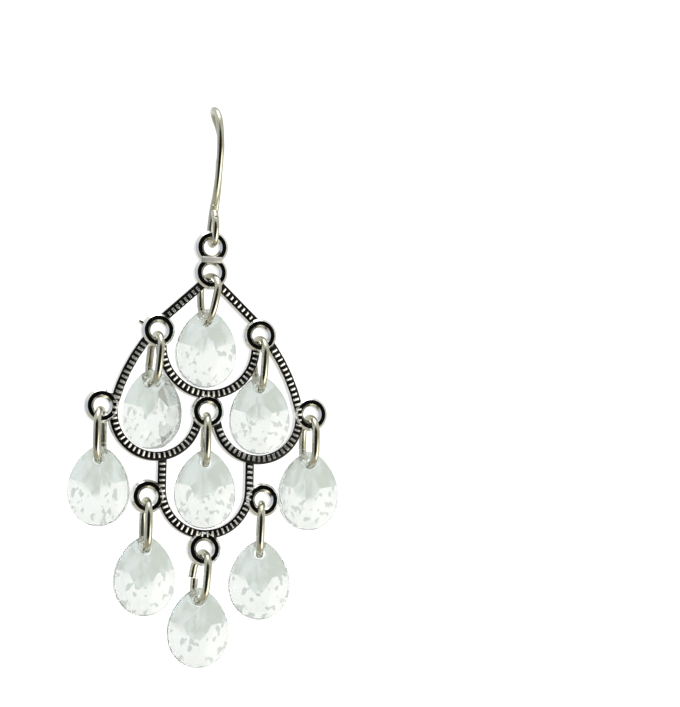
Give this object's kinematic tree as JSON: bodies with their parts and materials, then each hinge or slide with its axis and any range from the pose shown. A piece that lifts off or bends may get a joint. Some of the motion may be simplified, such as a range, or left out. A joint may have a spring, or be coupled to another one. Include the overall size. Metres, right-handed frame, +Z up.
{
  "type": "chandelier earring",
  "caption": "Drop earring for a pierced ear: a wire ear hook carries a cast openwork frame of ribbed hoops and eyelets, and faceted clear pear drops hang from it on oval jump rings.",
  "frame": {"origin": "where the hook rests in the ear: the middle of the wire's underside at the top of its arc", "axes": "+Z up along the hanging earring, +X to the right seen from the front, +Y away to the back"},
  "size_m": [0.0335, 0.0104, 0.0685],
  "materials": {
    "bright_wire": "bright nickel plating, slightly warm, with fine draw lines and dull cut ends",
    "antiqued_casting": "cast alloy plated silver, blackened between the ribs and polished on the ribs and rims",
    "clear_drop": "clear colourless, faceted and polished, very slightly grey-green"
  },
  "bodies": {
    "hook": {"ear_hook": "bright_wire"},
    "hanging": {"cast_frame": "antiqued_casting", "jump_ring_top": "bright_wire", "jump_ring_upper_left": "bright_wire", "jump_ring_upper_right": "bright_wire", "jump_ring_side_left": "bright_wire", "jump_ring_side_right": "bright_wire", "jump_ring_centre": "bright_wire", "jump_ring_lower_left": "bright_wire", "jump_ring_lower_right": "bright_wire", "jump_ring_bottom": "bright_wire", "drop_top": "clear_drop", "drop_upper_left": "clear_drop", "drop_upper_right": "clear_drop", "drop_side_left": "clear_drop", "drop_side_right": "clear_drop", "drop_centre": "clear_drop", "drop_lower_left": "clear_drop", "drop_lower_right": "clear_drop", "drop_bottom": "clear_drop"}
  },
  "joints": [
    {"name": "frame_swing", "type": "hinge", "parent": "hook", "child": "hanging", "pos_m": [0, 0, -0.0163], "axis": [0, 1, 0], "range_deg": [-60, 60]}
  ]
}
